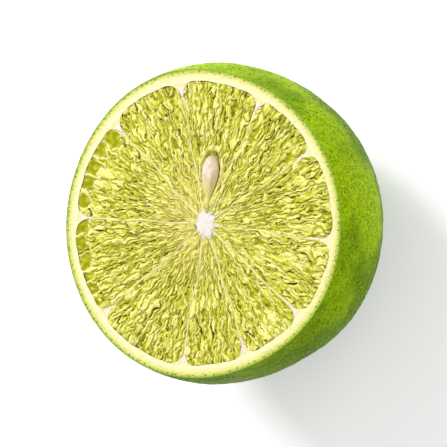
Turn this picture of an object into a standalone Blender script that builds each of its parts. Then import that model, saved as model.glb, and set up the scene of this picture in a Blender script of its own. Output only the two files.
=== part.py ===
"""A cut green citrus fruit, standing on its stem end with the cut face up.

The fruit is close to a ball. It was cut square to its axis, above the widest place, and the larger
piece is kept. Metres, +Z up. The origin is under the middle of the fruit, on the surface it stands on.

The pieces are those that the cut shows: the green rind, the white pith with its core and the walls
between the segments, ten segments of pulp, one seed and the woody scar where the stem was.
"""

import math

import bmesh
import bpy
from mathutils import Matrix, Vector

MM = 0.001

# The fruit's size
FRUIT_RADIUS = 28.0 * MM
FLAT_RADIUS = 6.0 * MM
CUT_ABOVE_MIDDLE = 9.2 * MM
MIDDLE_HEIGHT = math.sqrt(FRUIT_RADIUS**2 - FLAT_RADIUS**2)
CUT_HEIGHT = MIDDLE_HEIGHT + CUT_ABOVE_MIDDLE

# How the fruit departs from a ball: lobes round it, share of the radius, azimuth of one lobe
LOBES = ((2, 0.005, math.radians(150)), (3, 0.011, math.radians(142)), (5, 0.003, math.radians(20)))

# The layers, measured inwards from the skin, and their floors above the surface that the fruit stands on
GAP = 0.3 * MM
RIND_THICKNESS = 0.9 * MM
RIND_FLOOR = 1.5 * MM
PITH_INSET = RIND_THICKNESS + GAP
PITH_FLOOR = RIND_FLOOR + GAP
WALL_INSET = 2.1 * MM
WALL_INSET_SWING = 0.3 * MM
WALL_THICKEST_AZIMUTH = math.radians(90)
LOCULE_FLOOR = 3.4 * MM

# The core and the walls between the segments, as azimuths round the core
CORE_OFFSET_AT_CUT = Vector((0.0, -1.3 * MM))
WALL_AZIMUTHS = (11.5, 45.3, 87.3, 128.1, 169.4, 199.0, 229.0, 262.9, 301.6, 333.7)
SEPTUM_THICKNESS = 0.6 * MM
CORE_CLEARANCE = 0.6 * MM
CORNER_RADIUS = 1.6 * MM
CORNER_START = 0.7

# The grid that each segment is bent from, and its finer top
ACROSS, ALONG, UPRIGHT = 6, 5, 6
TOP_CUTS = 2

# The juice sacs on the cut face
PULP_SINK = 0.4 * MM
SAC_HEIGHT = 0.6 * MM
SACS_ACROSS = 6
SACS_ALONG = 3.5
EDGE_SINK = 0.6 * MM
EDGE_SINK_START = 0.75

# The seed, which points at the core. Its widest place is about 0.73 of these, as it tapers
SEED_LENGTH = 8.4 * MM
SEED_WIDTH = 4.25 * MM
SEED_DEPTH = 3.7 * MM
SEED_FROM_CORE = 7.6 * MM
SEED_AZIMUTH = math.radians(-5)
SEED_BELOW_CUT = 0.7 * MM
SEED_TAPER = 0.85
SEED_SEGMENT = 9

# The scar where the stem was
SCAR_RADIUS = 2.5 * MM
SCAR_THICKNESS = 0.45 * MM
SCAR_RECESS = 0.85 * MM

# Round counts
SKIN_SEGMENTS, SKIN_RINGS = 48, 28
LINING_SEGMENTS, LINING_RINGS = 40, 20
ROUND_STEPS = 24

# Finishes: colour, roughness
FINISHES = {
    "green_rind": ((0.26, 0.41, 0.01), 0.38),
    "white_pith": ((0.86, 0.84, 0.56), 0.60),
    "green_pulp": ((0.60, 0.60, 0.10), 0.25),
    "cream_seed": ((0.88, 0.80, 0.62), 0.45),
    "tan_scar": ((0.58, 0.47, 0.17), 0.75),
}


def clear_scene():
    for obj in list(bpy.data.objects):
        bpy.data.objects.remove(obj, do_unlink=True)


def new_collection(name):
    collection = bpy.data.collections.new(name)
    bpy.context.scene.collection.children.link(collection)
    return collection


def make_finish(name):
    colour, roughness = FINISHES[name]
    finish = bpy.data.materials.new(name)
    finish.use_nodes = True
    shader = finish.node_tree.nodes["Principled BSDF"]
    shader.inputs["Base Color"].default_value = (*colour, 1.0)
    shader.inputs["Roughness"].default_value = roughness
    shader.inputs["Metallic"].default_value = 0.0
    finish.diffuse_color = (*colour, 1.0)
    return finish


def add_object(name, bm, collection, finish=None):
    """Turns a bmesh into an object with smooth sides and sharp cut edges."""
    bm.normal_update()
    bmesh.ops.recalc_face_normals(bm, faces=bm.faces)
    mesh = bpy.data.meshes.new(name)
    bm.to_mesh(mesh)
    bm.free()
    obj = bpy.data.objects.new(name, mesh)
    collection.objects.link(obj)
    mesh.shade_smooth()
    mesh.set_sharp_from_angle(angle=math.radians(50))
    if finish:
        mesh.materials.append(finish)
    return obj


def add_cutter(name, bm, collection):
    cutter = add_object(name, bm, collection)
    cutter.hide_render = True
    cutter.display_type = "WIRE"
    return cutter


def cut_with(obj, cutter):
    """Takes a cutter, or every cutter of a collection, out of an object."""
    boolean = obj.modifiers.new("cut_" + cutter.name, "BOOLEAN")
    boolean.operation = "DIFFERENCE"
    boolean.solver = "EXACT"
    if isinstance(cutter, bpy.types.Collection):
        boolean.operand_type = "COLLECTION"
        boolean.collection = cutter
    else:
        boolean.object = cutter


def smooth_step(low, high, x):
    t = min(max((x - low) / (high - low), 0.0), 1.0)
    return t * t * (3.0 - 2.0 * t)


def skin_radius(azimuth, level):
    """The skin's distance from the fruit's middle. level is the sine of the height angle."""
    waist = 1.0 - level * level
    lobes = sum(share * math.cos(count * (azimuth - at)) for count, share, at in LOBES)
    return FRUIT_RADIUS * (1.0 + lobes * waist)


def layer_ball(inset, floor, segments, rings):
    """A closed ball that follows the skin at a depth, cut off flat at its floor."""
    bm = bmesh.new()
    bmesh.ops.create_uvsphere(bm, u_segments=segments, v_segments=rings, radius=1.0)
    for vert in bm.verts:
        direction = vert.co.normalized()
        azimuth = math.atan2(direction.y, direction.x)
        vert.co = direction * (skin_radius(azimuth, direction.z) - inset)
        vert.co.z += MIDDLE_HEIGHT
    slice_flat(bm, floor, keep_above=True)
    return bm


def slice_flat(bm, height, keep_above):
    """Cuts a closed mesh off along a level plane and closes it with one flat face."""
    cut = bmesh.ops.bisect_plane(
        bm,
        geom=bm.verts[:] + bm.edges[:] + bm.faces[:],
        dist=1e-7,
        plane_co=(0.0, 0.0, height),
        plane_no=(0.0, 0.0, 1.0),
        clear_inner=keep_above,
        clear_outer=not keep_above,
    )
    rim = [edge for edge in cut["geom_cut"] if isinstance(edge, bmesh.types.BMEdge)]
    bmesh.ops.edgeloop_fill(bm, edges=rim)


def gridded_block(across, along, upright):
    """A cube from 0 to 1 each way, with its faces divided into a grid."""
    bm = bmesh.new()
    bmesh.ops.create_cube(bm, size=1.0)
    bmesh.ops.translate(bm, verts=bm.verts, vec=(0.5, 0.5, 0.5))
    for axis, divisions in enumerate((across, along, upright)):
        lengthwise = [
            edge for edge in bm.edges if abs(edge.verts[0].co[axis] - edge.verts[1].co[axis]) > 1e-4
        ]
        bmesh.ops.subdivide_edges(bm, edges=lengthwise, cuts=divisions - 1, use_grid_fill=True)
    return bm


def core_at(height):
    """The core leans a little: it is over the stem scar below and off the middle at the cut."""
    return CORE_OFFSET_AT_CUT * (height / CUT_HEIGHT)


def wall_distance(azimuth, height, clearance):
    """From the core to the inside of the pith, at that azimuth round the core."""
    level = (height - MIDDLE_HEIGHT) / FRUIT_RADIUS
    swing = WALL_INSET_SWING * math.cos(azimuth - WALL_THICKEST_AZIMUTH)
    depth = WALL_INSET + swing + clearance
    ball = skin_radius(azimuth, level) - depth
    circle = math.sqrt(max(ball**2 - (height - MIDDLE_HEIGHT) ** 2, 1e-9))
    core = core_at(height)
    towards = core.x * math.cos(azimuth) + core.y * math.sin(azimuth)
    return -towards + math.sqrt(towards**2 - core.length_squared + circle**2)


def level_height(share, floor):
    """Heights from the floor to the cut, spaced by equal angles of the round wall."""
    ball = FRUIT_RADIUS - WALL_INSET
    low = math.asin((floor - MIDDLE_HEIGHT) / ball)
    high = math.asin(CUT_ABOVE_MIDDLE / ball)
    return MIDDLE_HEIGHT + ball * math.sin(low + (high - low) * share)


def segment_point(start, end, across, along, height, clearance):
    """A point of one segment. across and along run from 0 to 1: from wall to wall, and from core to pith."""
    middle, half = (start + end) / 2, (end - start) / 2
    side_gap = SEPTUM_THICKNESS / 2 + clearance
    tip = side_gap / math.sin(half) + CORE_CLEARANCE
    side = 2.0 * across - 1.0
    side *= 1.5 - 0.5 * side * side
    corner = max(abs(side) - CORNER_START, 0.0) / (1.0 - CORNER_START)
    rounding = CORNER_RADIUS * (1.0 - math.sqrt(max(1.0 - corner**2, 0.0)))
    azimuth = middle
    for _ in range(3):
        reach = wall_distance(azimuth, height, clearance) - rounding
        distance = tip + (reach - tip) * along
        azimuth = middle + side * (half - math.asin(side_gap / distance))
    core = core_at(height)
    x = core.x + distance * math.cos(azimuth)
    y = core.y + distance * math.sin(azimuth)
    return Vector((x, y, height))


def segment_angles(index):
    start = WALL_AZIMUTHS[index]
    end = WALL_AZIMUTHS[(index + 1) % len(WALL_AZIMUTHS)]
    if end < start:
        end += 360.0
    return math.radians(start), math.radians(end)


def locule_cutter(index, collection):
    """The hollow in the pith that one segment lies in, run on upwards past the cut."""
    start, end = segment_angles(index)
    bm = gridded_block(ACROSS, ALONG, UPRIGHT + 1)
    for vert in bm.verts:
        across, along, up = vert.co
        level = round(up * (UPRIGHT + 1))
        height = level_height(min(level, UPRIGHT) / UPRIGHT, LOCULE_FLOOR)
        vert.co = segment_point(start, end, across, along, height, 0.0)
        if level > UPRIGHT:
            vert.co.z += 2.0 * MM
    return add_cutter(f"locule_{index + 1:02d}", bm, collection)


def sac_relief(across, along, index):
    """The height of the juice sacs: ridges that point at the core, each broken into short sacs."""
    ridge = 0.5 - 0.5 * math.cos(2.0 * math.pi * SACS_ACROSS * across)
    row = math.floor(SACS_ACROSS * across)
    stagger = 0.5 * (row % 2) + 0.17 * index
    broken = 0.55 + 0.45 * math.cos(2.0 * math.pi * (SACS_ALONG * along + stagger))
    taper = 0.45 + 0.55 * along
    sink = EDGE_SINK * smooth_step(EDGE_SINK_START, 1.0, along)
    return SAC_HEIGHT * ridge * broken * taper - sink


def pulp_segment(index, collection, finish):
    """One segment of pulp, clear of the pith all round, with juice sacs on its cut face."""
    start, end = segment_angles(index)
    bm = gridded_block(ACROSS, ALONG, UPRIGHT)
    place = bm.verts.layers.float_vector.new("place")
    for vert in bm.verts:
        across, along, up = vert.co
        vert[place] = vert.co
        height = level_height(up, LOCULE_FLOOR + GAP)
        vert.co = segment_point(start, end, across, along, height, GAP)
    top = [edge for edge in bm.edges if all(vert[place].z > 1.0 - 1e-4 for vert in edge.verts)]
    bmesh.ops.subdivide_edges(bm, edges=top, cuts=TOP_CUTS, use_grid_fill=True)
    for vert in bm.verts:
        across, along, up = vert[place]
        if up > 1.0 - 1e-4:
            vert.co.z += sac_relief(across, along, index) - PULP_SINK
    return add_object(f"pulp_segment_{index + 1:02d}", bm, collection, finish)


def seed_mesh(clearance):
    """A drop shape that lies down, with its point towards the core."""
    bm = bmesh.new()
    bmesh.ops.create_uvsphere(bm, u_segments=14, v_segments=12, radius=1.0)
    bmesh.ops.rotate(bm, verts=bm.verts, matrix=Matrix.Rotation(math.radians(90), 3, "Y"))
    for vert in bm.verts:
        x, y, z = vert.co
        slim = 1.0 - SEED_TAPER * ((1.0 - x) / 2.0) ** 1.2
        vert.co.x = x * (SEED_LENGTH / 2 + clearance)
        vert.co.y = y * (slim * SEED_WIDTH / 2 + clearance)
        vert.co.z = z * (slim * SEED_DEPTH / 2 + clearance)
    core = core_at(CUT_HEIGHT - SEED_BELOW_CUT)
    bmesh.ops.translate(bm, verts=bm.verts, vec=(SEED_FROM_CORE, 0.0, 0.0))
    bmesh.ops.rotate(bm, verts=bm.verts, matrix=Matrix.Rotation(SEED_AZIMUTH, 3, "Z"))
    bmesh.ops.translate(bm, verts=bm.verts, vec=(core.x, core.y, CUT_HEIGHT - SEED_BELOW_CUT))
    return bm


def scar_mesh():
    """A low woody disc with a raised rim and a knob in its middle, facing down."""
    rim_in, knob = 0.68 * SCAR_RADIUS, 0.28 * SCAR_RADIUS
    top = SCAR_RECESS - GAP
    profile = (
        (0.0, top - SCAR_THICKNESS * 0.9),
        (knob, top - SCAR_THICKNESS * 0.8),
        (knob * 1.5, top - SCAR_THICKNESS * 0.45),
        (rim_in, top - SCAR_THICKNESS * 0.5),
        (0.85 * SCAR_RADIUS, top - SCAR_THICKNESS),
        (SCAR_RADIUS, top - SCAR_THICKNESS * 0.7),
        (SCAR_RADIUS, top),
        (0.0, top),
    )
    bm = bmesh.new()
    verts = [bm.verts.new((x, 0.0, z)) for x, z in profile]
    edges = [bm.edges.new(pair) for pair in zip(verts, verts[1:])]
    bmesh.ops.spin(
        bm,
        geom=verts + edges,
        cent=(0.0, 0.0, 0.0),
        axis=(0.0, 0.0, 1.0),
        angle=math.tau,
        steps=ROUND_STEPS,
        use_merge=True,
    )
    bmesh.ops.remove_doubles(bm, verts=bm.verts, dist=1e-6)
    return bm


def stand_on_origin(collections):
    """Shifts everything sideways, so that the middle of the fruit's bounding box is over the origin."""
    skin = bpy.data.objects["rind"].data.vertices
    middle = [(min(v.co[axis] for v in skin) + max(v.co[axis] for v in skin)) / 2 for axis in (0, 1)]
    shift = Matrix.Translation((-middle[0], -middle[1], 0.0))
    for collection in collections:
        for obj in collection.objects:
            obj.data.transform(shift)


def build():
    clear_scene()
    parts = new_collection("cut_fruit")
    cutters = new_collection("cutters")
    locules = new_collection("locules")
    finishes = {name: make_finish(name) for name in FINISHES}

    # The rind: a green bowl whose rim is the cut
    skin = layer_ball(0.0, 0.0, SKIN_SEGMENTS, SKIN_RINGS)
    slice_flat(skin, CUT_HEIGHT, keep_above=False)
    rind = add_object("rind", skin, parts, finishes["green_rind"])
    hollow = layer_ball(RIND_THICKNESS, RIND_FLOOR, LINING_SEGMENTS, LINING_RINGS)
    cut_with(rind, add_cutter("rind_hollow", hollow, cutters))
    recess = bmesh.new()
    bmesh.ops.create_cone(
        recess,
        cap_ends=True,
        segments=ROUND_STEPS,
        radius1=SCAR_RADIUS + GAP,
        radius2=SCAR_RADIUS + GAP,
        depth=2 * SCAR_RECESS,
    )
    cut_with(rind, add_cutter("scar_recess", recess, cutters))

    # The pith: a white bowl with a core and ten walls, left where the segments are taken out
    lining = layer_ball(PITH_INSET, PITH_FLOOR, LINING_SEGMENTS, LINING_RINGS)
    slice_flat(lining, CUT_HEIGHT, keep_above=False)
    pith = add_object("pith", lining, parts, finishes["white_pith"])
    for index in range(len(WALL_AZIMUTHS)):
        locule_cutter(index, locules)
    cut_with(pith, locules)

    # The pulp, the seed in its pocket, and the scar
    segments = [
        pulp_segment(index, parts, finishes["green_pulp"]) for index in range(len(WALL_AZIMUTHS))
    ]
    pocket = add_cutter("seed_pocket", seed_mesh(GAP), cutters)
    cut_with(segments[SEED_SEGMENT], pocket)
    add_object("seed", seed_mesh(0.0), parts, finishes["cream_seed"])
    add_object("stem_scar", scar_mesh(), parts, finishes["tan_scar"])

    stand_on_origin((parts, cutters, locules))


build()
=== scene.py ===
# %% [markdown]
# # A cut green citrus half
# The fruit stands on its stem end with the cut face up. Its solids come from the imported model, which
# holds the real sizes. This file dresses them: every piece below is built again with the fine shapes
# and finishes of real fruit, in the place of the solid that it stands for.

import math

import bpy
import numpy as np
from mathutils import Matrix, Vector
from mathutils.kdtree import KDTree


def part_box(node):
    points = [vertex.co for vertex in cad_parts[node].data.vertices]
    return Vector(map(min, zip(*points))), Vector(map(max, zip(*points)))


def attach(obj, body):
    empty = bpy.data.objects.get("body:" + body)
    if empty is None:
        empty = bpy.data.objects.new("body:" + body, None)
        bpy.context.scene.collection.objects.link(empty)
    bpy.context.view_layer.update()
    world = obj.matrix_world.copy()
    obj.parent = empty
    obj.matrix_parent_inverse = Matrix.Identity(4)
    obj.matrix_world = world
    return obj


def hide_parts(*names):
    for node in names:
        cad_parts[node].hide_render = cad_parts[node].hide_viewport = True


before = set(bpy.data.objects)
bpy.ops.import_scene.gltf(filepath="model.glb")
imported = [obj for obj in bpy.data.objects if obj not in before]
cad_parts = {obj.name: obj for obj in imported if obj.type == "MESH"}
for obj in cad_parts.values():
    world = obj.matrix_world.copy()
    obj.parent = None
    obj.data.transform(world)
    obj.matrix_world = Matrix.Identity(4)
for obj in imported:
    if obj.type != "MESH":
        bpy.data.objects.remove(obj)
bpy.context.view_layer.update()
print("pieces in the packed model:", sorted(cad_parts))

# %% [markdown]
# ## Sizes
# All lengths here are in millimetres, because a fruit is easiest to think about that way. They are the
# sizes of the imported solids, but for the ring of pith, which is a little thinner here, and the corners
# of the segments, which are rounder. The axis of the fruit runs straight up through the scar at its stem
# end, so the scar's box tells where the axis is. A point is worked out with the axis at zero, and
# add_piece moves it into place and turns it into metres.

# %% Sizes of the fruit
MM = 0.001
FRUIT_RADIUS = 28.0
FLAT_RADIUS = 6.0
CUT_ABOVE_MIDDLE = 9.2
MIDDLE = math.sqrt(FRUIT_RADIUS**2 - FLAT_RADIUS**2)
CUT = MIDDLE + CUT_ABOVE_MIDDLE
# The lobes of the fruit: how many, how high as a share of the radius, and where the first one is
LOBES = ((2, 0.005, math.radians(150)), (3, 0.011, math.radians(142)), (5, 0.003, math.radians(20)))

PEEL_THICKNESS = 0.9
PEEL_FLOOR = 1.5
PITH_FLOOR = 1.8
LOCULE_FLOOR = 3.4
WALL_INSET = 1.9
WALL_INSET_SWING = 0.18
WALL_INSET_OVAL = 0.18
WALL_AZIMUTHS = np.radians((11.5, 45.3, 87.3, 128.1, 169.4, 199.0, 229.0, 262.9, 301.6, 333.7))
SEGMENTS = len(WALL_AZIMUTHS)
CORE_AT_CUT = np.array([0.0, -1.3])
CORNER_RADIUS = 2.5

scar_low, scar_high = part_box("stem_scar")
AXIS = np.array([(scar_low.x + scar_high.x) / 2, (scar_low.y + scar_high.y) / 2, 0.0])
print(f"the fruit's axis is at x {AXIS[0] / MM:.2f} mm, y {AXIS[1] / MM:.2f} mm; the cut is at {CUT:.2f} mm")

# %% [markdown]
# ## Relief and meshes
# Nothing on a fruit is quite even. A sum of plane waves in random directions gives a soft, natural
# unevenness that is the same each run, because its random numbers are seeded. The meshes are grids of
# four-sided faces, bent into shape by formulas, so a helper turns rows and columns of points into faces,
# and another closes a stack of rings into one solid body.

# %% Relief, grids and pieces
WAVELENGTH_SPREAD = (0.7, 1.5)


def waves(points, wavelength, seed, count=16):
    """Soft random relief, mostly from -1 to 1, with features of about one wavelength."""
    draw = np.random.default_rng(seed)
    total = np.zeros(len(points))
    for _ in range(count):
        direction = draw.normal(size=points.shape[1])
        direction /= np.linalg.norm(direction)
        turns = points @ direction / (wavelength * draw.uniform(*WAVELENGTH_SPREAD))
        total += np.sin(2 * math.pi * (turns + draw.uniform()))
    return total / math.sqrt(count)


def smooth(values, low, high):
    """0 up to low, 1 from high on, and a soft step between."""
    share = np.clip((values - low) / (high - low), 0, 1)
    return share * share * (3 - 2 * share)


def hill(values, width):
    """1 where the values are 0, with a soft fall towards 0 on both sides."""
    return np.exp(-((values / width) ** 2))


def all_round(columns):
    """Even azimuths, one for each column of a closed grid."""
    return np.arange(columns) / columns * 2 * math.pi


def turned(azimuth, other):
    """How far an azimuth is from another, the short way round."""
    return (azimuth - other + math.pi) % (2 * math.pi) - math.pi


def grid_faces(rows, columns, closed=False):
    """The faces of a grid of points numbered row by row. closed joins its last column to its first."""
    ahead = np.arange(columns if closed else columns - 1)
    column, row = np.meshgrid(ahead, np.arange(rows - 1))
    column, row = column.ravel(), row.ravel()
    after = (column + 1) % columns
    low, high = row * columns, (row + 1) * columns
    return np.stack((low + column, low + after, high + after, high + column), axis=1).tolist()


def fan_faces(ring, centre):
    """Triangles that close a ring of point numbers with one point in its middle."""
    return [[here, after, centre] for here, after in zip(ring, ring[1:] + ring[:1])]


def ringed_body(rings, first_centre, last_centre):
    """Joins a stack of rings, all with as many points, and closes each end with a fan."""
    columns = len(rings[0])
    total = len(rings) * columns
    points = np.concatenate((*rings, [first_centre, last_centre]))
    faces = grid_faces(len(rings), columns, closed=True)
    faces += fan_faces(list(range(columns))[::-1], total)
    faces += fan_faces(list(range(total - columns, total)), total + 1)
    return points, faces


def add_piece(name, points, faces, finish, marks, stands_for):
    """Makes one piece from points in millimetres. Its finish reads the marks, a number at each point."""
    mesh = bpy.data.meshes.new(name)
    mesh.from_pydata((points * MM + AXIS).tolist(), [], faces)
    for mark, values in marks.items():
        mesh.attributes.new(mark, "FLOAT", "POINT").data.foreach_set("value", values.astype(np.float32))
    mesh.update()
    mesh.shade_smooth()
    mesh.materials.append(finish)
    piece = bpy.data.objects.new(name, mesh)
    bpy.context.scene.collection.objects.link(piece)
    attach(piece, "root")
    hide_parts(stands_for)
    print(f"{name}: {len(faces)} faces")
    return piece


# %% [markdown]
# ## Node materials
# A finish is a small net of nodes. Colours are written as the hex values that an artist would pick on
# screen, and one function turns them into the linear values that the shader works in. Another adds a
# node with its settings and its links in one go. What is the same all over a surface is set on the
# shader itself.

# %% Colours and nodes


def linear(hex_colour):
    """Linear red, green, blue and alpha of an sRGB hex colour."""
    values = [int(hex_colour[i : i + 2], 16) / 255 for i in (1, 3, 5)]
    return [v / 12.92 if v <= 0.04045 else ((v + 0.055) / 1.055) ** 2.4 for v in values] + [1.0]


def new_finish(name):
    """A new material, and its shader."""
    finish = bpy.data.materials.new(name)
    finish.use_nodes = True
    return finish, finish.node_tree.nodes["Principled BSDF"]


def add_node(finish, kind, settings=None, stops=(), **inputs):
    """Adds a node. An input is a number, a colour, or the socket that it is linked from. The stops of
    a colour ramp are each a position and a hex colour."""
    node = finish.node_tree.nodes.new(kind)
    for key, value in (settings or {}).items():
        setattr(node, key, value)
    for number, (position, colour) in enumerate(stops):
        elements = node.color_ramp.elements
        element = elements[number] if number < len(elements) else elements.new(position)
        element.position = position
        element.color = linear(colour)
    for key, value in inputs.items():
        numbered = key[0] == "i" and key[1:].isdigit()
        socket = node.inputs[int(key[1:]) if numbered else key.replace("_", " ")]
        if isinstance(value, bpy.types.NodeSocket):
            finish.node_tree.links.new(value, socket)
        else:
            socket.default_value = value
    return node


def join(finish, source, target):
    """Links one socket to another."""
    finish.node_tree.links.new(source, target)


def set_constants(shader, constants):
    """Sets what is the same all over a surface, on the shader's own sockets."""
    for name, value in constants.items():
        shader.inputs[name].default_value = value


print(f"a grey of half the screen's range is {linear('#808080')[0]:.3f} of its light")

# %% [markdown]
# ## The peel's finish
# Citrus peel is a waxy skin over thousands of oil glands. Each gland is a dimple with a darker, glassier
# middle, and between them small paler flecks are painted glints, where the wax would catch the light.
# How ripe the skin is drifts in patches between yellow-green and blue-green. It is also deeper green
# towards the stem, partly a real tint and partly painted shade on the low part of the fruit; darker on
# the -X side, as painted shade away from the key light; and a little darker on the +X side, where painted
# shade dims the key light. Round the cut the peel shows its section: a dark green line, then yellow-green
# with the glands that the knife opened as dark dots, then the pale start of the pith. The mesh carries
# two marks for this: gland, which is 1 in the middle of a large gland, and depth, the distance in
# millimetres below the skin. Wax keeps the sheen soft, so the specular level is low and the roughness
# middling, and its IOR is about 1.44. A painted picture could hold all this, but it would have seams and
# blur close up. Noise and cell patterns in real millimetres have neither fault.

# %% Waxy green peel
peel, shader = new_finish("waxy_green_citrus_peel")
place = add_node(peel, "ShaderNodeTexCoord").outputs["Object"]
gland, depth = (
    add_node(peel, "ShaderNodeAttribute", {"attribute_name": name}).outputs["Fac"]
    for name in ("gland", "depth")
)

# How the ripeness drifts, with painted shade in it: along an axis, from one place to another in
# millimetres, by how much at each. Low on the fruit it is darker, partly a real tint and partly painted
# shade; the -X side is darker as painted shade, and on the +X side painted shade dims the key light
SKIN_DRIFTS_AND_PAINTED_SHADE = (("Z", 8, 28, -0.50, 0.165), ("X", -24, 0, -0.36, 0.0), ("X", 10, 24, 0.0, -0.16))
PATCH_SIZE = 14 * MM
# The stop at 0.72 is darker than the one at 0.50: painted shade that dims the top of the peel under the key
# light
SKIN_STOPS = ((0.14, "#446000"), (0.32, "#5E7E00"), (0.50, "#92B400"), (0.72, "#84A200"), (1.0, "#CADE18"))
# How much riper, and so paler, the painted glints of the wax are than the skin round them
GLINT_RIPER = 0.36
apart = add_node(peel, "ShaderNodeSeparateXYZ", Vector=place)
drifts = [
    add_node(
        peel, "ShaderNodeMapRange", Value=apart.outputs[axis],
        From_Min=start * MM, From_Max=end * MM, To_Min=first, To_Max=last,
    ).outputs["Result"]
    for axis, start, end, first, last in SKIN_DRIFTS_AND_PAINTED_SHADE
]
ripeness_and_shade = drifts[0]
for drift in drifts[1:]:
    ripeness_and_shade = add_node(peel, "ShaderNodeMath", {"operation": "ADD"}, i0=ripeness_and_shade, i1=drift).outputs[0]
patches = add_node(
    peel, "ShaderNodeTexNoise", Vector=place, Scale=1 / PATCH_SIZE, Detail=3.0, Roughness=0.55
)
ripeness_and_shade = add_node(
    peel, "ShaderNodeMath", {"operation": "MULTIPLY_ADD"}, i0=patches.outputs["Fac"], i1=0.85, i2=ripeness_and_shade
).outputs[0]
glint_ripeness = add_node(peel, "ShaderNodeMath", {"operation": "ADD"}, i0=ripeness_and_shade, i1=GLINT_RIPER).outputs[0]
skin, glint_colour = (
    add_node(peel, "ShaderNodeValToRGB", stops=SKIN_STOPS, Fac=share).outputs["Color"]
    for share in (ripeness_and_shade, glint_ripeness)
)
print("finish:", peel.name, "drifts", len(drifts), "ways")

# %% Glands and wax of the peel
FINE_GLAND_SPACING = 0.50 * MM
# Grains of wax are far finer than a pixel of the render, so they are drawn two pixels apart, to show
WAX_GRAIN = 0.34 * MM
cells = add_node(peel, "ShaderNodeTexVoronoi", Vector=place, Scale=1 / FINE_GLAND_SPACING, Randomness=0.9)
fine_gland = add_node(
    peel, "ShaderNodeMapRange", {"interpolation_type": "SMOOTHSTEP"}, Value=cells.outputs["Distance"],
    From_Min=0.20, From_Max=0.52, To_Min=1.0, To_Max=0.0,
).outputs["Result"]
speckle = add_node(peel, "ShaderNodeMath", {"operation": "MULTIPLY"}, i0=gland, i1=0.45).outputs[0]
speckle = add_node(
    peel, "ShaderNodeMath", {"operation": "MULTIPLY_ADD", "use_clamp": True},
    i0=fine_gland, i1=0.62, i2=speckle,
).outputs[0]
wax = add_node(peel, "ShaderNodeTexNoise", Vector=place, Scale=1 / WAX_GRAIN, Detail=1.0, Roughness=0.6)
# Where the wax noise is high the skin is painted a paler green: painted glints, small highlights of the wax
painted_glint = add_node(
    peel, "ShaderNodeMapRange", {"interpolation_type": "SMOOTHSTEP"}, Value=wax.outputs["Fac"],
    From_Min=0.50, From_Max=0.66, To_Max=0.80,
).outputs["Result"]
for cover, tint in ((speckle, linear("#4E7400")), (painted_glint, glint_colour)):
    skin = add_node(
        peel, "ShaderNodeMix", {"data_type": "RGBA"}, Factor=cover, A=skin, B=tint
    ).outputs["Result"]
height = add_node(
    peel, "ShaderNodeMath", {"operation": "MULTIPLY_ADD"}, i0=fine_gland, i1=-0.8, i2=wax.outputs["Fac"]
).outputs[0]
bump = add_node(peel, "ShaderNodeBump", Strength=0.8, Distance=0.12 * MM, Height=height)
join(peel, bump.outputs["Normal"], shader.inputs["Normal"])
rough = add_node(peel, "ShaderNodeMapRange", Value=wax.outputs["Fac"], To_Min=0.44, To_Max=0.28)
join(peel, rough.outputs["Result"], shader.inputs["Roughness"])
print(f"small glands {FINE_GLAND_SPACING / MM} mm apart, grains of wax {WAX_GRAIN / MM} mm")

# %% Section of the peel
CUT_GLAND_SPACING = 0.85 * MM
SECTION_STOPS = ((0.0, "#7A962A"), (0.28, "#A4BC48"), (0.54, "#C9CF6C"), (0.80, "#E1DA87"), (1.0, "#EEE29C"))
GLAND_BAND_STOPS = ((0.10, "#000000"), (0.20, "#FFFFFF"), (0.50, "#FFFFFF"), (0.70, "#000000"))
inwards = add_node(peel, "ShaderNodeMath", {"operation": "DIVIDE"}, i0=depth, i1=PEEL_THICKNESS).outputs[0]
section = add_node(peel, "ShaderNodeValToRGB", stops=SECTION_STOPS, Fac=inwards).outputs["Color"]
open_cells = add_node(
    peel, "ShaderNodeTexVoronoi", {"voronoi_dimensions": "2D"},
    Vector=place, Scale=1 / CUT_GLAND_SPACING, Randomness=0.8,
)
open_gland = add_node(
    peel, "ShaderNodeMapRange", {"interpolation_type": "SMOOTHSTEP"}, Value=open_cells.outputs["Distance"],
    From_Min=0.14, From_Max=0.36, To_Min=0.8, To_Max=0.0,
).outputs["Result"]
in_band = add_node(peel, "ShaderNodeValToRGB", stops=GLAND_BAND_STOPS, Fac=depth).outputs["Color"]
open_gland = add_node(
    peel, "ShaderNodeMath", {"operation": "MULTIPLY"}, i0=open_gland, i1=in_band
).outputs[0]
section = add_node(
    peel, "ShaderNodeMix", {"data_type": "RGBA"}, Factor=open_gland, A=section, B=linear("#74862A")
).outputs["Result"]
under = add_node(peel, "ShaderNodeMapRange", Value=depth, From_Min=0.0, From_Max=0.05).outputs["Result"]
colour = add_node(
    peel, "ShaderNodeMix", {"data_type": "RGBA"}, Factor=under, A=skin, B=section
).outputs["Result"]
join(peel, colour, shader.inputs["Base Color"])
set_constants(shader, {
    "IOR": 1.44,
    "Specular IOR Level": 0.02,
    "Subsurface Weight": 0.15,
    "Subsurface Radius": (0.6, 1.0, 0.1),
    "Subsurface Scale": 0.5 * MM,
})
print("nodes in the peel's finish:", len(peel.node_tree.nodes))

# %% [markdown]
# ## The pith's finish
# Pith is a dry white sponge. Near the peel it is yellow, and it whitens inwards. Where the walls between
# the segments meet it, and in the core, it is whitest, with a hint of pink. The mark inward is the
# distance from the peel, and white marks the core and the places where the walls join. Its pores could
# be modelled, but that takes a far finer mesh, so a noise mottles the colour and a cell pattern gives
# small bumps. Light goes a little way into the sponge, so it scatters under the surface.

# %% Spongy white pith
SPONGE_GRAIN = 0.5 * MM
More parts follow.
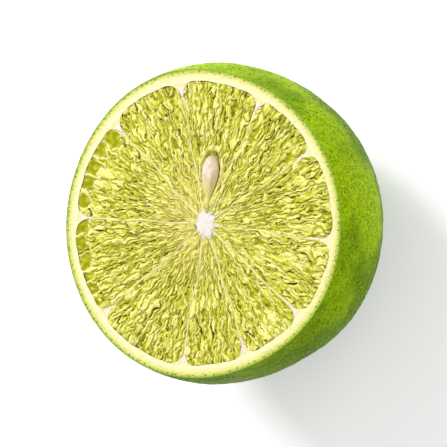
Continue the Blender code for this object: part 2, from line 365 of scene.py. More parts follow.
# Real pores are finer than a pixel of the render, so they are drawn about two pixels apart, to show
PORE_SPACING = 0.32 * MM
PITH_STOPS = ((0.0, "#E2DA88"), (0.25, "#EBE39C"), (0.50, "#EFE9AA"), (0.72, "#F4ECC4"), (1.0, "#E4DC94"))
pith, shader = new_finish("spongy_white_pith")
place = add_node(pith, "ShaderNodeTexCoord").outputs["Object"]
inward, white = (
    add_node(pith, "ShaderNodeAttribute", {"attribute_name": name}).outputs["Fac"]
    for name in ("inward", "white")
)
sponge = add_node(
    pith, "ShaderNodeTexNoise", Vector=place, Scale=1 / SPONGE_GRAIN, Detail=5.0, Roughness=0.7
)
mottle = add_node(
    pith, "ShaderNodeMath", {"operation": "MULTIPLY_ADD"}, i0=sponge.outputs["Fac"], i1=0.9, i2=inward
).outputs[0]
share = add_node(pith, "ShaderNodeMapRange", Value=mottle, From_Min=0.20, From_Max=2.00).outputs["Result"]
band = add_node(pith, "ShaderNodeValToRGB", stops=PITH_STOPS, Fac=share).outputs["Color"]
colour = add_node(
    pith, "ShaderNodeMix", {"data_type": "RGBA"}, Factor=white, A=band, B=linear("#EDDFD8")
).outputs["Result"]
join(pith, colour, shader.inputs["Base Color"])
pores = add_node(pith, "ShaderNodeTexVoronoi", Vector=place, Scale=1 / PORE_SPACING)
bump = add_node(pith, "ShaderNodeBump", Strength=0.4, Distance=0.05 * MM, Height=pores.outputs["Distance"])
join(pith, bump.outputs["Normal"], shader.inputs["Normal"])
set_constants(shader, {
    "Roughness": 0.55,
    "IOR": 1.4,
    "Subsurface Weight": 0.35,
    "Subsurface Radius": (1.0, 0.9, 0.6),
    "Subsurface Scale": 0.6 * MM,
})
print("finish:", pith.name)

# %% [markdown]
# ## The pulp's finish
# Pulp is a bundle of juice sacs: thin, clear skins full of juice. Light goes in, scatters and comes out
# yellow-green, so the finish needs subsurface scattering, and its wet film, a coat, gives small sharp
# glints. Where the cut goes deep into the juice the colour is strong and olive, and where skins and
# fibres stand up it is pale, so the tone follows the relief: partly the real depth of juice, partly painted
# light and shade. The marks are sac (the tone of each point), rim (1 on pale skins and threads), one for
# painted shade (1 in hollows, slits, creases and seams, and where the pulp lies low by the pith, the
# walls and the seed, all painted dark olive as shade), clear (1 in the windows of juice by the pith) and
# ripe (1 where the flesh is warmer, beside the core). See-through sacs would be truer, but they take long
# to render, and scattering looks much the same from outside. Sugary juice has an IOR of about 1.36, and
# the wet film a little less.

# %% Wet pulp
# Clouds in the juice and ripples in the film are about as wide as a strand of the pulp
CLOUD_SIZE = 0.45 * MM
FILM_RIPPLE = 0.4 * MM
JUICE_STOPS = ((0.0, "#757A00"), (0.25, "#A0A20A"), (0.50, "#C1C130"), (0.73, "#DAD65C"), (1.0, "#F4EF96"))
pulp, shader = new_finish("wet_green_citrus_pulp")
place = add_node(pulp, "ShaderNodeTexCoord").outputs["Object"]
sac, rim, painted_shade, ripe, clear = (
    add_node(pulp, "ShaderNodeAttribute", {"attribute_name": name}).outputs["Fac"]
    for name in ("sac", "rim", "painted_shade", "ripe", "clear")
)
clouds = add_node(pulp, "ShaderNodeTexNoise", Vector=place, Scale=1 / CLOUD_SIZE, Detail=3.0, Roughness=0.7)
tone = add_node(
    pulp, "ShaderNodeMath", {"operation": "MULTIPLY_ADD"}, i0=clouds.outputs["Fac"], i1=0.95, i2=sac
).outputs[0]
share = add_node(pulp, "ShaderNodeMapRange", Value=tone, From_Min=0.32, From_Max=1.36).outputs["Result"]
juice = add_node(pulp, "ShaderNodeValToRGB", stops=JUICE_STOPS, Fac=share).outputs["Color"]
# The dark olive laid over hollows, slits, creases, seams and low pulp is painted shade
for cover, tint in ((ripe, "#E6D476"), (clear, "#969800"), (rim, "#EFEA9C"), (painted_shade, "#6A6A00")):
    juice = add_node(
        pulp, "ShaderNodeMix", {"data_type": "RGBA"}, Factor=cover, A=juice, B=linear(tint)
    ).outputs["Result"]
join(pulp, juice, shader.inputs["Base Color"])
film = add_node(pulp, "ShaderNodeTexNoise", Vector=place, Scale=1 / FILM_RIPPLE, Detail=2.0)
rough = add_node(pulp, "ShaderNodeMapRange", Value=film.outputs["Fac"], To_Min=0.16, To_Max=0.40)
join(pulp, rough.outputs["Result"], shader.inputs["Roughness"])
bump = add_node(pulp, "ShaderNodeBump", Strength=0.5, Distance=0.06 * MM, Height=film.outputs["Fac"])
join(pulp, bump.outputs["Normal"], shader.inputs["Normal"])
set_constants(shader, {
    "IOR": 1.36,
    "Specular IOR Level": 0.12,
    "Subsurface Weight": 0.6,
    "Subsurface Radius": (1.0, 0.95, 0.25),
    "Subsurface Scale": 0.35 * MM,
    "Coat Weight": 0.3,
    "Coat Roughness": 0.05,
    "Coat IOR": 1.34,
})
print("finish:", pulp.name)

# %% [markdown]
# ## The seed's and the scar's finishes
# A citrus seed has a smooth cream coat, damp from the juice and a little pink, and yellower towards its
# thin tail. Its blunt end has a brown spot, where the seed was fed. The scar where the stem was is dry
# wood: tan, cracked and without gloss. The mark tail is 1 at the seed's thin end, and spot at its blunt
# end. Both are mostly cellulose, whose IOR is near the shader's own 1.5, so it is left alone. On pieces
# this small, one noise for the colour and a bump are enough, and a bump is cheaper than a finer mesh.

# %% Moist seed coat
BLUSH_SIZE = 1.4 * MM
WRINKLE_SIZE = 0.5 * MM
seed_coat, shader = new_finish("moist_cream_seed_coat")
place = add_node(seed_coat, "ShaderNodeTexCoord").outputs["Object"]
blush = add_node(seed_coat, "ShaderNodeTexNoise", Vector=place, Scale=1 / BLUSH_SIZE, Detail=4.0)
coat_stops = ((0.32, "#D6BEA0"), (0.62, "#E6D4C0"))
coat = add_node(seed_coat, "ShaderNodeValToRGB", stops=coat_stops, Fac=blush.outputs["Fac"]).outputs["Color"]
for mark, tint in (("tail", "#DFD27C"), ("spot", "#C4A68A")):
    cover = add_node(seed_coat, "ShaderNodeAttribute", {"attribute_name": mark}).outputs["Fac"]
    coat = add_node(
        seed_coat, "ShaderNodeMix", {"data_type": "RGBA"}, Factor=cover, A=coat, B=linear(tint)
    ).outputs["Result"]
join(seed_coat, coat, shader.inputs["Base Color"])
wrinkles = add_node(seed_coat, "ShaderNodeTexNoise", Vector=place, Scale=1 / WRINKLE_SIZE, Detail=3.0)
bump = add_node(
    seed_coat, "ShaderNodeBump", Strength=0.3, Distance=0.05 * MM, Height=wrinkles.outputs["Fac"]
)
join(seed_coat, bump.outputs["Normal"], shader.inputs["Normal"])
set_constants(shader, {
    "Roughness": 0.32,
    "Subsurface Weight": 0.4,
    "Subsurface Radius": (1.0, 0.8, 0.5),
    "Subsurface Scale": 0.6 * MM,
    "Coat Weight": 0.2,
    "Coat Roughness": 0.15,
})
print("finish:", seed_coat.name)

# %% Dry woody scar
# Single fibres of wood are too fine to show, so bundles of them are drawn
FIBRE_WIDTH = 0.5 * MM
WOOD_STOPS = ((0.30, "#8A6F34"), (0.50, "#B79E5C"), (0.72, "#D2C084"))
scar_wood, shader = new_finish("dry_woody_stem_scar")
place = add_node(scar_wood, "ShaderNodeTexCoord").outputs["Object"]
fibres = add_node(
    scar_wood, "ShaderNodeTexNoise", Vector=place, Scale=1 / FIBRE_WIDTH, Detail=5.0, Roughness=0.7
).outputs["Fac"]
wood = add_node(scar_wood, "ShaderNodeValToRGB", stops=WOOD_STOPS, Fac=fibres).outputs["Color"]
join(scar_wood, wood, shader.inputs["Base Color"])
bump = add_node(scar_wood, "ShaderNodeBump", Strength=0.7, Distance=0.12 * MM, Height=fibres)
join(scar_wood, bump.outputs["Normal"], shader.inputs["Normal"])
set_constants(shader, {"Roughness": 0.8})
print("finish:", scar_wood.name)

# %% [markdown]
# ## The shape of the fruit
# The skin is a ball with a few soft lobes. The formulas below are those of the solids: how far the skin is
# from the middle in any direction, where the core is, and how far the inside of the pith is from the core.
# They work on arrays, so that one call gives a whole grid of points.

# %% Formulas of the fruit
TINY = 1e-3


def skin_radius(azimuth, level):
    """From the fruit's middle to its skin. level is the sine of the height angle."""
    lobes = sum(share * np.cos(count * (azimuth - at)) for count, share, at in LOBES)
    return FRUIT_RADIUS * (1 + lobes * (1 - level**2))


def core_at(height):
    """Where the core is at some height: over the scar below, and off the middle at the cut."""
    return np.multiply.outer(height / CUT, CORE_AT_CUT)


def from_axis(distance, azimuth, height):
    """Points round the axis of the fruit."""
    distance, azimuth, height = np.broadcast_arrays(distance, azimuth, height)
    return np.stack((distance * np.cos(azimuth), distance * np.sin(azimuth), height), axis=-1)


def from_core(distance, azimuth, height):
    """Points round the core."""
    points = from_axis(distance, azimuth, height)
    points[..., :2] += core_at(points[..., 2])
    return points


def core_to_ball(ball, azimuth, height):
    """From the core to a ball round the fruit's middle, level with some height."""
    circle = np.sqrt(np.maximum(ball**2 - (height - MIDDLE) ** 2, TINY))
    core = core_at(height)
    towards = core[..., 0] * np.cos(azimuth) + core[..., 1] * np.sin(azimuth)
    return -towards + np.sqrt(towards**2 - (core**2).sum(-1) + circle**2)


def wall_distance(azimuth, height):
    """From the core to the inside of the pith."""
    swing = WALL_INSET_SWING * np.cos(azimuth - math.pi / 2)
    inset = WALL_INSET + swing + WALL_INSET_OVAL * np.cos(2 * azimuth)
    return core_to_ball(skin_radius(azimuth, (height - MIDDLE) / FRUIT_RADIUS) - inset, azimuth, height)


print(f"the skin is {skin_radius(0.0, 0.0):.2f} mm from the middle at azimuth 0")

# %% Edges of the segments
# Waves round the inside of the pith, as nothing grown is a true circle: how many, how high, and the start
EDGE_WAVES = ((23, 0.04, 0.4), (37, 0.04, 2.0), (11, 0.07, 1.1))
# The least and the most that a wall sways to a side, and the length of its waves
WALL_SWAY = (0.12, 0.30)
WALL_WAVELENGTH = (9, 16)
WALL_REACH = 24


def edge_waver(azimuth):
    """How far the inside of the pith is out of its circle."""
    return sum(height * np.sin(count * azimuth + start) for count, height, start in EDGE_WAVES)


def wall_azimuth(index, distance):
    """The azimuth of a wall between two segments, which wavers between the core and the pith."""
    draw = np.random.default_rng(700 + index % SEGMENTS)
    sway = draw.uniform(*WALL_SWAY)
    length = draw.uniform(*WALL_WAVELENGTH)
    start = draw.uniform(0, 2 * math.pi)
    span = np.clip(distance / WALL_REACH, 0, 1)
    offset = sway * np.sin(math.pi * span) * np.sin(2 * math.pi * distance / length + start)
    once_round = 2 * math.pi if index >= SEGMENTS else 0
    return WALL_AZIMUTHS[index % SEGMENTS] + once_round + offset / np.maximum(distance, 1)


def rounding(from_wall):
    """How far a segment's outer corner is cut back, by the distance from the wall beside it."""
    short = np.clip(1 - from_wall / CORNER_RADIUS, 0, 1)
    return CORNER_RADIUS * (1 - np.sqrt(1 - short**2))


print(f"the inside of the pith wavers by {edge_waver(all_round(360)).max():.2f} mm")

# %% [markdown]
# ## The peel
# The peel is a bowl: a skin, a rim that the knife left, and an inner side that lies against the pith. A
# ball with a texture would look flat at its edges, so the larger oil glands are real dimples. Their
# places come from a spiral that spaces points evenly over a ball, shaken so that no pattern shows.

# %% Oil glands
GLAND_SPACING = 1.15
GLAND_REACH = 0.34
GLAND_DEPTH = 0.18
GLAND_SHAKE = 0.30
GLAND_SIZES = (0.5, 1.15)
# The room that one gland of a close pattern takes, as a share of its spacing squared
PACKING = 0.87


def gland_places():
    """Points on a ball of radius 1, one for each large gland, and their sizes."""
    draw = np.random.default_rng(41)
    count = int(4 * math.pi * FRUIT_RADIUS**2 / (PACKING * GLAND_SPACING**2))
    number = np.arange(count) + 0.5
    height = 1 - 2 * number / count
    turn = number * math.pi * (1 + math.sqrt(5))
    places = from_axis(np.sqrt(1 - height**2), turn, height)
    places += draw.normal(scale=GLAND_SHAKE * GLAND_SPACING / FRUIT_RADIUS, size=places.shape)
    return places / np.linalg.norm(places, axis=1)[:, None], draw.uniform(*GLAND_SIZES, count)


places, gland_sizes = gland_places()
gland_tree = KDTree(len(places))
for number, gland_place in enumerate(places):
    gland_tree.insert(gland_place, number)
gland_tree.balance()
print(len(places), "large oil glands on the whole ball")

# %% Rings of the peel
PEEL_COLUMNS = 540
SKIN_ROWS = 150
INNER_ROWS = 6
# How far below the skin the rings of the cut rim lie, and how much lower the skin's last ring is
RIM_INSETS = (0.03, 0.08, 0.18, 0.30, 0.42, 0.54, 0.66, 0.78, 0.88, 0.90)
RIM_BEVEL = 0.10
# The recess of the scar and the flat spot, from the middle out: the radius and height of each ring
SCAR_RECESS = 0.85
STEM_END = ((2.8, SCAR_RECESS), (2.8, 0.12), (2.9, 0.03), (3.05, 0.0), (4.2, 0.0), (5.2, 0.0))
around = all_round(PEEL_COLUMNS)


def at_cut(inset):
    """From the axis to a circle that lies at some depth under the skin, in the plane of the cut."""
    ball = skin_radius(around, CUT_ABOVE_MIDDLE / FRUIT_RADIUS) - inset
    return np.sqrt(ball**2 - CUT_ABOVE_MIDDLE**2)


def bowl_ring(share, inset, floor):
    """One ring of a bowl at a depth under the skin: share runs from 0 at its floor to 1 at the cut."""
    ball = FRUIT_RADIUS - inset
    low, high = math.asin((floor - MIDDLE) / ball), math.asin(CUT_ABOVE_MIDDLE / ball)
    angle = low + (high - low) * share
    radius = skin_radius(around, math.sin(angle)) - inset
    return from_axis(radius * math.cos(angle), around, MIDDLE + radius * math.sin(angle))


rings = [from_axis(out, around, up) for out, up in STEM_END]
rings += [bowl_ring(step / (SKIN_ROWS - 1), 0.0, 0.0) for step in range(SKIN_ROWS)]
rings[-1][:, 2] -= RIM_BEVEL
rings += [from_axis(at_cut(inset), around, CUT) for inset in RIM_INSETS]
rings += [bowl_ring(step / INNER_ROWS, PEEL_THICKNESS, PEEL_FLOOR) for step in range(INNER_ROWS - 1, -1, -1)]
points, faces = ringed_body(rings, (0, 0, SCAR_RECESS), (0, 0, PEEL_FLOOR))
skin_part = slice(len(STEM_END) * PEEL_COLUMNS, (len(STEM_END) + SKIN_ROWS) * PEEL_COLUMNS)
rim_part = slice(skin_part.stop, skin_part.stop + len(RIM_INSETS) * PEEL_COLUMNS)
depth_mark = np.zeros(len(points))
depth_mark[rim_part] = np.repeat(RIM_INSETS, PEEL_COLUMNS)
depth_mark[rim_part.stop :] = PEEL_THICKNESS
depth_mark[-2] = 0.0
print(len(rings), "rings of", PEEL_COLUMNS, "points")

# %% Skin of the peel
# Lumps of the skin: height, wavelength and seed. They lie a little below the solid's skin, to stay in it
SKIN_LUMPS = ((0.07, 15.0, 3), (0.03, 3.2, 4), (0.02, 1.3, 6))
SKIN_SUNK = 0.10
FURROWS, FURROW_DEPTH = 9, 0.16
RIM_ROUGHNESS = 0.03
skin_points = points[skin_part]
outward = skin_points - (0, 0, MIDDLE)
outward /= np.linalg.norm(outward, axis=1)[:, None]
gland_mark = np.zeros(len(skin_points))
for number, direction in enumerate(outward):
    _, nearest, distance = gland_tree.find(direction)
    reach = GLAND_REACH * gland_sizes[nearest]
    gland_mark[number] = math.exp(-((distance * FRUIT_RADIUS / reach) ** 2)) * gland_sizes[nearest]
on_ball = outward * FRUIT_RADIUS
lumps = sum(height * waves(on_ball, length, seed) for height, length, seed in SKIN_LUMPS) - SKIN_SUNK

# The relief fades out at the flat spot and at the cut; shallow furrows run out from the stem end
fade = np.clip(skin_points[:, 2] / 2.0, 0, 1) * np.clip((CUT - skin_points[:, 2]) / 0.8, 0.25, 1)
turn = np.arctan2(skin_points[:, 1], skin_points[:, 0])
from_stem = np.hypot(skin_points[:, 0], skin_points[:, 1])
furrows = FURROW_DEPTH * (0.5 + 0.5 * np.cos(FURROWS * turn + 1.3 * np.sin(2 * turn)))
furrows *= smooth(from_stem, 6.0, 7.5)
furrows *= 1 - smooth(from_stem, 8.5, 14.0)
gland_mark *= np.clip(skin_points[:, 2] / 1.5, 0, 1)
points[skin_part] += outward * ((lumps - GLAND_DEPTH * gland_mark) * fade - furrows)[:, None]
rough_rim = np.repeat(np.interp(RIM_INSETS, (0.0, 0.5, 0.9), (1, 1, 0)), PEEL_COLUMNS)
points[rim_part, 2] += RIM_ROUGHNESS * rough_rim * waves(points[rim_part], 0.9, 5) - RIM_ROUGHNESS
points[:, 2] = np.maximum(points[:, 2], 0)
all_glands = np.zeros(len(points))
all_glands[skin_part] = gland_mark
marks = {"gland": all_glands, "depth": depth_mark}
add_piece("peel", points, faces, peel, marks, "rind")

# %% [markdown]
# ## The pith, the core and the walls
# The white part is one grown body: a bowl, a core in the middle, and thin walls that run from the core to
# the bowl and keep the segments apart. The bowl is a closed band of rings. Its inner edge has a corner
# for each segment, so a small white triangle is left where each wall meets it.

# %% Pith bowl
PITH_COLUMNS = 1200
WALL_HALF = 0.20
TOP_STEPS = 14
OUTER_ROWS = 8
INNER_BOWL_ROWS = 9
SIDE_DROPS = (0.25, 0.8, 1.8, 3.5)
# The bowl starts a little inside the peel, so that the two never show the same surface
PEEL_OVERLAP = 0.06
PEEL_CLEARANCE = 0.1
# A rough reach to start from, and the rounds of a formula that comes closer to the true one each time
ROUGH_REACH = 25.0
ROUNDS = 4
around = all_round(PITH_COLUMNS)


def segment_edge(azimuth, height, side_gap):
    """From the core to the outer end of the segments, with their rounded corners."""
    height = np.full(np.shape(azimuth), height)
    reach = wall_distance(azimuth, height) + edge_waver(azimuth)
    from_wall = np.full(np.shape(reach), np.inf)
    for index in range(SEGMENTS):
        beside = np.abs(turned(azimuth, wall_azimuth(index, reach))) * reach
        from_wall = np.minimum(from_wall, beside - side_gap)
    return reach - rounding(np.maximum(from_wall, 0))


def skin_from_core(inset, height):
    """From the core to a bowl that lies at some depth under the skin."""
    distance = np.full(len(around), ROUGH_REACH)
    for _ in range(ROUNDS):
        at = from_core(distance, around, height)
        azimuth = np.arctan2(at[:, 1], at[:, 0])
        ball = skin_radius(azimuth, (height - MIDDLE) / FRUIT_RADIUS) - inset
        distance = core_to_ball(ball, around, height)
    return distance


def bowl_heights(count, inset, floor):
    """Heights from the cut down to a floor, spaced evenly round the bowl."""
    ball = FRUIT_RADIUS - inset
    high, low = math.asin(CUT_ABOVE_MIDDLE / ball), math.asin((floor - MIDDLE) / ball)
    return [MIDDLE + ball * math.sin(high + (low - high) * step / count) for step in range(count + 1)]


edge_outer = skin_from_core(PEEL_THICKNESS - PEEL_OVERLAP, CUT)
edge_inner = segment_edge(around, CUT, WALL_HALF)
under_peel = PEEL_THICKNESS + PEEL_CLEARANCE
rings, inward_marks = [], []
for height in bowl_heights(OUTER_ROWS, under_peel, PITH_FLOOR)[:0:-1]:
    rings.append(from_core(skin_from_core(under_peel, height), around, height))
    inward_marks.append(np.zeros(PITH_COLUMNS))
print(f"the pith is {np.min(edge_outer - edge_inner):.2f} mm wide at its narrowest")

# %% Cut face of the pith
# Its relief: height, wavelength and seed
PITH_RELIEF = ((0.04, 0.6, 11), (0.03, 2.5, 12))
PITH_SUNK = 0.03
OUTER_BEVEL, INNER_BEVEL = 0.03, 0.10
for share in (0.0, 0.015, *np.linspace(0, 1, TOP_STEPS)[1:-1], 0.98, 1.0):
    distance = edge_outer + (edge_inner - edge_outer) * share
    ring = from_core(distance, around, CUT)
    relief = sum(height * waves(ring, length, seed) for height, length, seed in PITH_RELIEF)
    ring[:, 2] += min(1.0, 4 * share) * relief - PITH_SUNK
    ring[:, 2] -= OUTER_BEVEL * (share < 0.02) + INNER_BEVEL * (share == 1.0)
    rings.append(ring)
    inward_marks.append(edge_outer - distance)
lower = [CUT - drop for drop in SIDE_DROPS]
lower += bowl_heights(INNER_BOWL_ROWS, WALL_INSET, LOCULE_FLOOR)[2:]
for height in lower:
    rings.append(from_core(segment_edge(around, height, WALL_HALF), around, height))
    inward_marks.append(edge_outer - edge_inner)
points, faces = ringed_body(rings, (0, 0, PITH_FLOOR), (*core_at(LOCULE_FLOOR), LOCULE_FLOOR))
inward_mark = np.append(np.concatenate(inward_marks), (0, 2))
white_mark = 0.9 * smooth(inward_mark, 1.45, 2.4)
pith_parts = [(points, faces, inward_mark, white_mark)]
print(f"pith bowl: {len(faces)} faces")

# %% [markdown]
# ## Walls and core
# Each wall is a thin fin. Its top is a rounded bead that shows as a pale line on the cut face. It is
# thicker at the core and at the bowl, and white where it joins them. A flat sheet would do for a wall
# but for its edge, which has to catch the light, so a rounded profile is drawn out along the wall's
# line. The core is a spongy star, longer one way than the other, with a point towards each wall. It is
# a stack of rings with the star's outline, closed by a soft top, as no more of it shows.

# %% Walls
WALL_STEPS = 130
WALL_START = 0.4
WALL_FOOT = 1.9
THINNEST_HALF = 0.10
# How much the half width wavers, and how much it grows at the core and at the bowl
HALF_WAVER, HALF_AT_CORE, HALF_AT_BOWL = 0.05, 0.08, 0.16
CREST_WAVER = 0.08
# Across the fin, as a share of its half width, and down from its crest; None is the bottom of the bowl
FIN_PROFILE = (
    (-1, None), (-1, 3.0), (-1.05, 0.6), (-0.95, 0.14), (-0.55, 0.03), (0, 0.0),
    (0.55, 0.03), (0.95, 0.14), (1.05, 0.6), (1, 3.0), (1, None),
)


def wall_fin(index):
    """A fin from the core to the bowl, with a rounded top edge."""
    joint = float(segment_edge(WALL_AZIMUTHS[index : index + 1], CUT, WALL_HALF)[0])
    distance = np.linspace(WALL_START, joint + 0.5, WALL_STEPS)
    azimuth = wall_azimuth(index, distance)
    line = np.stack((distance, np.full(WALL_STEPS, 9.0 * index)), axis=1)
    half = WALL_HALF + HALF_WAVER * waves(line, 2.4, 810 + index)
    root = HALF_AT_CORE * hill(distance - 2.0, 0.8)
    half += root + HALF_AT_BOWL * smooth(distance, joint - 2.2, joint + 0.5)
    half = np.maximum(half, THINNEST_HALF)
    free = 1 - smooth(distance, joint - 1.5, joint)
    crest = CUT - 0.02 + CREST_WAVER * waves(line, 3.0, 820 + index) * free
    crest -= CREST_WAVER * smooth(distance, joint - 0.4, joint + 0.3)
    lines = []
    for side, drop in FIN_PROFILE:
        if drop is None:
            ball = FRUIT_RADIUS - WALL_FOOT
            height = MIDDLE - np.sqrt(ball**2 - np.minimum(distance, ball - WALL_START) ** 2)
            run = np.minimum(distance, np.sqrt(np.maximum(ball**2 - (height - MIDDLE) ** 2, 1)))
        else:
            height, run = crest - drop, distance
        points = from_core(run, azimuth, height)
        points[:, 0] -= side * half * np.sin(azimuth)
        points[:, 1] += side * half * np.cos(azimuth)
        lines.append(points)
    count = len(FIN_PROFILE)
    faces = grid_faces(count, WALL_STEPS)
    foot = (count - 1) * WALL_STEPS
    faces += [[foot + step, foot + step + 1, step + 1, step] for step in range(WALL_STEPS - 1)]
    ends = [[line * WALL_STEPS + step for line in range(count)] for step in (0, WALL_STEPS - 1)]
    faces += [ends[0], ends[1][::-1]]
    to_core, to_bowl = np.tile(distance, count), np.tile(joint - distance, count)
    white = 0.8 * (1 - smooth(to_core, 1.9, 3.0)) + 0.8 * (1 - smooth(to_bowl, 0.0, 1.6))
    points = np.concatenate(lines)
    return points, faces, np.full(len(points), 1.7), np.clip(white, 0, 1)


pith_parts += [wall_fin(index) for index in range(SEGMENTS)]
print("walls:", len(pith_parts) - 1)

# %% Core
CORE_HALF_LONG, CORE_HALF_WIDE = 2.55, 1.80
CORE_COLUMNS, CORE_RINGS = 160, 14
CORE_FOOT = LOCULE_FLOOR - 1.0
# How wide a point of the star is in radians, and the star's reach between the points and at one
STAR_POINT = 0.16
STAR_BETWEEN, STAR_REACH = 0.92, 0.24
# How wide the core is, as a share of its width at the cut, from its foot up
CORE_STACK = (
    (0.5, CORE_FOOT), (0.6, 12.0), (0.8, 24.0), (0.95, CUT - 3.0), (1.0, CUT - 0.8), (1.0, CUT - 0.2),
)
turns = all_round(CORE_COLUMNS)


def core_edge(azimuth):
    """From the middle of the core to its edge, with a point towards each wall."""
    oval = 1 / np.sqrt((np.cos(azimuth) / CORE_HALF_LONG) ** 2 + (np.sin(azimuth) / CORE_HALF_WIDE) ** 2)
    reach = np.zeros(np.shape(azimuth))
    for wall in WALL_AZIMUTHS:
        reach = np.maximum(reach, hill(turned(azimuth, wall), STAR_POINT))
    return oval * (STAR_BETWEEN + STAR_REACH * reach)


rings = [from_core(core_edge(turns) * share, turns, height) for share, height in CORE_STACK]
for ring in range(CORE_RINGS):
    share = 1 - ring / CORE_RINGS
    top = from_core(core_edge(turns) * share * 0.98, turns, CUT)
    top[:, 2] += 0.05 - 0.12 * share**6
    top[:, 2] += 0.008 * waves(top, 0.6, 21) + 0.02 * waves(top, 1.6, 22)
    rings.append(top)
points, faces = ringed_body(rings, (*core_at(CORE_FOOT), CORE_FOOT), (*CORE_AT_CUT, CUT))
pith_parts.append((points, faces, np.full(len(points), 2.0), np.ones(len(points))))
print(f"core: {len(faces)} faces")

# %% The bowl, the walls and the core as one piece
joined_faces, first = [], 0
for points, faces, _, _ in pith_parts:
    joined_faces += [[first + corner for corner in face] for face in faces]
    first += len(points)
joined_points, inward_mark, white_mark = (
    np.concatenate([part[column] for part in pith_parts]) for column in (0, 2, 3)
)
marks = {"inward": inward_mark, "white": white_mark}
add_piece("pith_core_and_walls", joined_points, joined_faces, pith, marks, "pith")

# %% [markdown]
# ## The pulp
# Each segment is a wedge of juice sacs. The sacs grow from the pith and point at the core, so on the cut
# face they are long drops, wide at the rim and thin as fibres at the core. The knife opened some, which
# leaves a shallow dish of juice inside a pale skin, and left most whole, as slim rounded pillows. Over
# them runs a finer grain of strands, the folds and threads of the sacs, which lean more to and fro. A
# cell pattern gives both: each point belongs to the nearest cell, by a distance that counts less along
# the cell than across it. How fast that distance changes tells how many millimetres a point is from the
# edge between two cells, and that one number makes both the relief of the mesh and the pale and dark
# lines of the finish.

# %% Cells of juice
# At some distances from the core, how long and how wide a sac and a strand are, and how much they lean
SACS = {
    "length": ((0, 12, 19, 25), (2.4, 4.0, 4.0, 3.0)),
    "width": ((0, 6, 14, 25), (0.40, 0.56, 0.80, 1.18)),
    "lean": math.radians(7),
}
STRANDS = {
    "length": ((0, 12, 25), (1.1, 1.5, 1.4)),
    "width": ((0, 6, 14, 25), (0.20, 0.28, 0.36, 0.42)),
    "lean": math.radians(14),
}
# Rows of cells round the core, from the first to the last, as many lengths apart as ROW_STEP
FIRST_ROW, LAST_ROW, ROW_STEP = 1.0, 26.5, 0.55
# How far a cell may be from its even place, as a share of its width and length, and how sizes spread
SIDE_SHAKE, ROW_SHAKE, SIZE_SPREAD = 0.4, 0.5, 0.25


def cell_layout(start, end, sizes, draw):
    """The cells between two walls: azimuth, distance from the core, direction, half width and half
    length of each."""
    cells = []
    distance = FIRST_ROW
    while distance < LAST_ROW:
        length, width = np.interp(distance, *sizes["length"]), np.interp(distance, *sizes["width"])
        count = max(1, round((end - start) * distance / width))
        for number in range(count):
            place = number + 0.5 + draw.uniform(-SIDE_SHAKE, SIDE_SHAKE)
            azimuth = start + (end - start) * place / count
            out = distance + draw.uniform(-ROW_SHAKE, ROW_SHAKE) * length
            size = math.exp(draw.normal(0, SIZE_SPREAD))
            lean = draw.normal(0, sizes["lean"])
            cells.append((azimuth, out, azimuth + lean, size * width / 2, size * length / 2))
        distance += ROW_STEP * length
    return np.array(cells).T


print("one row of sacs is", ROW_STEP * np.interp(12, *SACS["length"]), "mm from the next, halfway out")

# %% Nearest cells
# Points are worked on in batches, which keeps the memory small
BATCH = 4000
FLAT_SLOPE = 1e-6


def nearest_cells(x, y, cells):
    """For each point: its cell, the next one, how many millimetres it is from the edge between them,
    and its place along the cell."""
    azimuth, out, facing, half_width, half_length = cells
    centre_x, centre_y = out * np.cos(azimuth), out * np.sin(azimuth)
    cos, sin = np.cos(facing), np.sin(facing)
    results = []
    for first in range(0, len(x), BATCH):
        dx = x[first : first + BATCH, None] - centre_x
        dy = y[first : first + BATCH, None] - centre_y
        run, off = (dx * cos + dy * sin) / half_length, (dy * cos - dx * sin) / half_width
        away = run**2 + off**2
        rows = np.arange(len(away))
        two = np.argpartition(away, 1, axis=1)[:, :2]
        swapped = away[rows, two[:, 0]] > away[rows, two[:, 1]]
        near, far = np.where(swapped, two[:, 1], two[:, 0]), np.where(swapped, two[:, 0], two[:, 1])
        slopes = []
        for cell in (near, far):
            along, across = run[rows, cell] / half_length[cell], off[rows, cell] / half_width[cell]
            slope = (along * cos[cell] - across * sin[cell], along * sin[cell] + across * cos[cell])
            slopes.append(2 * np.stack(slope))
        steepness = np.hypot(*(slopes[1] - slopes[0]))
        edge = (away[rows, far] - away[rows, near]) / np.maximum(steepness, FLAT_SLOPE)
        results.append((near, far, edge, run[rows, near]))
    return [np.concatenate(column) for column in zip(*results)]


def dome(edge, half_width):
    """A rounded cross-section: 0 at the edge of a cell and 1 in its middle."""
    return 1 - (1 - np.clip(edge / half_width, 0, 1)) ** 2


def edge_number(near, far, one, other):
    """A whole number for the edge between two cells, the same from both its sides."""
    return np.minimum(near, far) * one + np.maximum(near, far) * other


print("halfway in from its edge a sac is at", dome(0.5, 1.0), "of its height")

# %% [markdown]
# ## Room for a segment
# The cut face of a segment starts as a flat grid, which is bent into the wedge between two walls, the
# core and the pith. By the pith at the picture's left, the knife opened the widest sacs into clear
# windows of juice. They take the place of the sacs there, and lie nearly level with the pith.

# %% The wedge between two walls
ALONG_POINTS = 174
ACROSS_PER_RADIAN = 254
SIDE_GAP = 0.14
PITH_GAP = 0.03
# The segment's tip starts inside the core's edge; near it, the gaps may take only a share of the wedge
TIP_SHARE = 0.80
MOST_GAP = 0.42
ROUGH_TIP, ROUGH_LENGTH = 1.5, 22


def walls_of(index):
    """The azimuths of the two walls of a segment."""
    return WALL_AZIMUTHS[index], wall_azimuth(index + 1, np.array([0.0]))[0]


